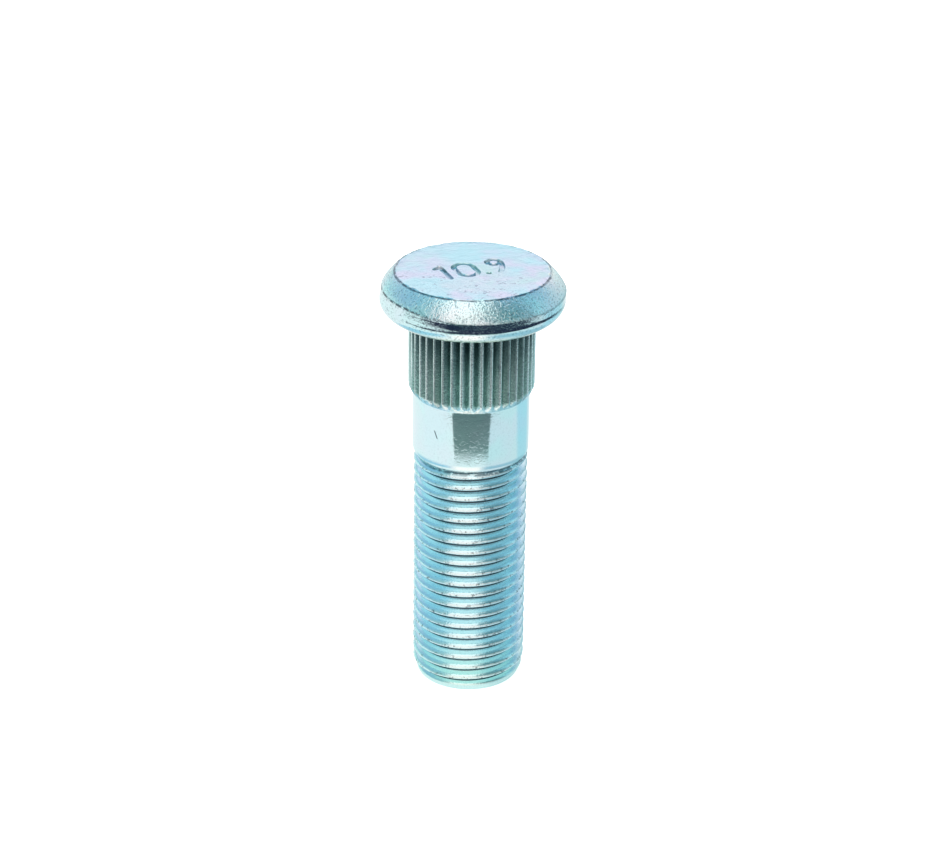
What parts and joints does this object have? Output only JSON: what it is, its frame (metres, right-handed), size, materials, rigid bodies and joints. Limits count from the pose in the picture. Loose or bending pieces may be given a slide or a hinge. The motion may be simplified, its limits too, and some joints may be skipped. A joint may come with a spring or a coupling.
{
  "type": "wheel stud",
  "caption": "Press-in wheel stud with a bevelled round head, a serrated press-fit band, a plain shank and a fine rolled thread with a rounded point.",
  "frame": {"origin": "middle of the flat threaded end that the stud stands on", "axes": "+Z along the stud's axis, from the threaded end up to the head; -Y is the side towards the picture's camera"},
  "size_m": [0.019, 0.019, 0.046],
  "materials": {
    "blue_zinc": "bright zinc plating with a pale blue clear passivate, over cold-formed steel"
  },
  "bodies": {
    "root": {"wheel_stud": "blue_zinc"}
  },
  "joints": []
}
